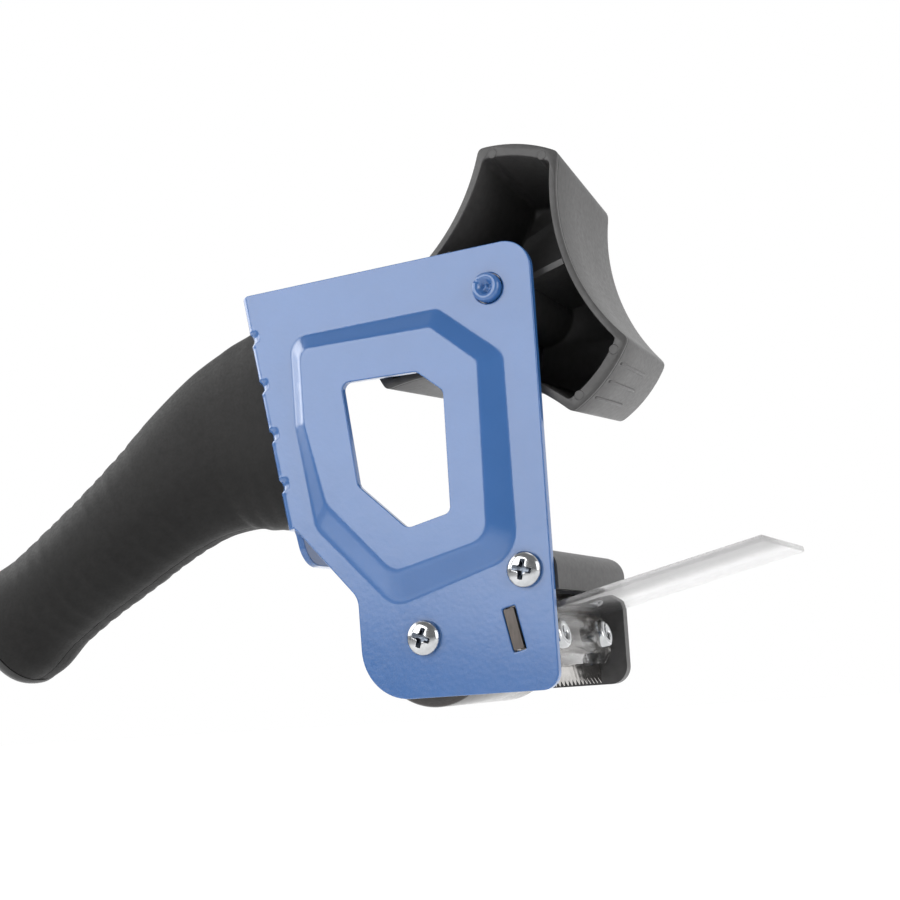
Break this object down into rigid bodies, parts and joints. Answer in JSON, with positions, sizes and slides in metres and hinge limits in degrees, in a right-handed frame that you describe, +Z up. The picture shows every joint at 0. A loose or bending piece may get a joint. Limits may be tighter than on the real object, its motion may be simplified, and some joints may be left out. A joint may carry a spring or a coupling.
{
  "type": "tape gun dispenser",
  "caption": "Hand-held packing tape dispenser: steel side plate, three-lobed tape hub with brake, rubber roller, serrated blade, clear hold-down flap and pistol handle.",
  "frame": {"origin": "middle of the base of the bounding box, the tool upright as it is held in use, roller and blade down", "axes": "+X forward towards the flap tip, +Y across the tape from the steel side plate to the open side, +Z up"},
  "size_m": [0.2596, 0.0664, 0.146],
  "materials": {
    "blue_paint": "smooth gloss enamel with a faint orange-peel texture",
    "grey_plastic": "satin dark grey moulded plastic",
    "zinc_steel": "bright zinc plated",
    "bare_steel": "bare spring steel, lightly polished",
    "clear_plastic": "clear polished rigid plastic",
    "black_grip": "matte black, fine grain",
    "black_plastic": "satin black",
    "roller_rubber": "smooth dark rubber",
    "nylon_bush": "natural nylon",
    "brass": "machined",
    "felt": "pressed felt"
  },
  "bodies": {
    "frame": {"side_plate": "blue_paint", "hub_axle": "blue_paint", "friction_washer": "felt", "pressure_washer": "zinc_steel", "brake_spring": "bare_steel", "roller_axle": "bare_steel", "roller_screw_near": "zinc_steel", "roller_screw_far": "zinc_steel", "head_housing": "grey_plastic", "tie_bar": "bare_steel", "cover_screw_near": "zinc_steel", "cover_screw_far": "zinc_steel", "blade_bracket": "bare_steel", "serrated_blade": "bare_steel", "flap_leg": "clear_plastic", "flap_screw_near": "zinc_steel", "flap_screw_far": "zinc_steel", "flap_nut_near": "zinc_steel", "flap_nut_far": "zinc_steel", "handle_shell_near": "black_grip", "handle_shell_far": "black_grip", "handle_tang": "bare_steel", "handle_bolt_upper": "zinc_steel", "handle_bolt_lower": "zinc_steel", "handle_washer_upper": "zinc_steel", "handle_washer_lower": "zinc_steel", "handle_nut_upper": "zinc_steel", "handle_nut_lower": "zinc_steel", "shell_screw_front": "zinc_steel", "shell_screw_rear": "zinc_steel", "butt_cap": "black_plastic"},
    "hub": {"tape_hub": "grey_plastic", "hub_bush_near": "nylon_bush", "hub_bush_far": "nylon_bush"},
    "roller": {"roller_sleeve": "roller_rubber", "roller_core": "black_plastic", "roller_bush_near": "nylon_bush", "roller_bush_far": "nylon_bush"},
    "knob": {"tension_knob": "black_plastic", "knob_nut": "brass"},
    "flap": {"flap_tongue": "clear_plastic"}
  },
  "joints": [
    {"name": "hub_spin", "type": "hinge", "parent": "frame", "child": "hub", "pos_m": [0.06631, -0.0032, 0.1061], "axis": [0, 1, 0], "continuous": true},
    {"name": "roller_spin", "type": "hinge", "parent": "frame", "child": "roller", "pos_m": [0.04131, -0.0032, 0.0178], "axis": [0, 1, 0], "continuous": true},
    {"name": "knob_turn", "type": "hinge", "parent": "frame", "child": "knob", "pos_m": [0.06631, 0.0278, 0.1061], "axis": [0, 1, 0], "range_deg": [-180, 180]},
    {"name": "flap_flex", "type": "hinge", "parent": "frame", "child": "flap", "pos_m": [0.07172, -0.0033, 0.02227], "axis": [0, 1, 0], "range_deg": [-10, 15], "stiffness_Nm_per_rad": 0.3}
  ]
}
